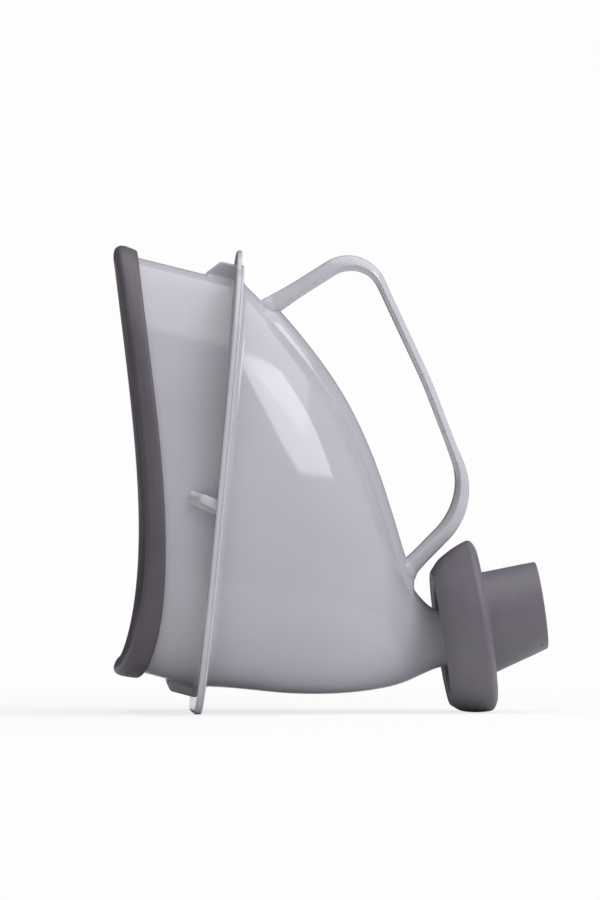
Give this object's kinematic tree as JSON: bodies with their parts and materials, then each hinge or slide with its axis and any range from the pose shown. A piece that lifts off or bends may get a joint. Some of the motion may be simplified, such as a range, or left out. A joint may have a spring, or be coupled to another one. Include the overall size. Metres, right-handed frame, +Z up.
{
  "type": "urine bottle",
  "caption": "Hand-held urinal funnel with soft-rimmed mouth, flanged two-shell body, loop handle and a soft adapter that plugs into a drink bottle.",
  "frame": {"origin": "middle of the footprint, on the floor the funnel rests on", "axes": "+Z up; -X out of the mouth, +X towards the outlet; +Y across the mouth"},
  "size_m": [0.1524, 0.098, 0.1634],
  "materials": {
    "grey_plastic": "gloss moulded polypropylene",
    "dark_rubber": "matte moulded rubber"
  },
  "bodies": {
    "funnel": {"mouth_collar": "grey_plastic", "scoop_shell": "grey_plastic", "carry_handle": "grey_plastic"},
    "rim": {"comfort_rim": "dark_rubber"},
    "adapter": {"bottle_adapter": "dark_rubber"}
  },
  "joints": [
    {"name": "rim_pull", "type": "slide", "parent": "funnel", "child": "rim", "axis": [-0.9686, 0, 0.2487], "range_m": [0, 0.02]},
    {"name": "adapter_pull", "type": "slide", "parent": "funnel", "child": "adapter", "axis": [0.989, 0, 0.1478], "range_m": [0, 0.022]}
  ]
}
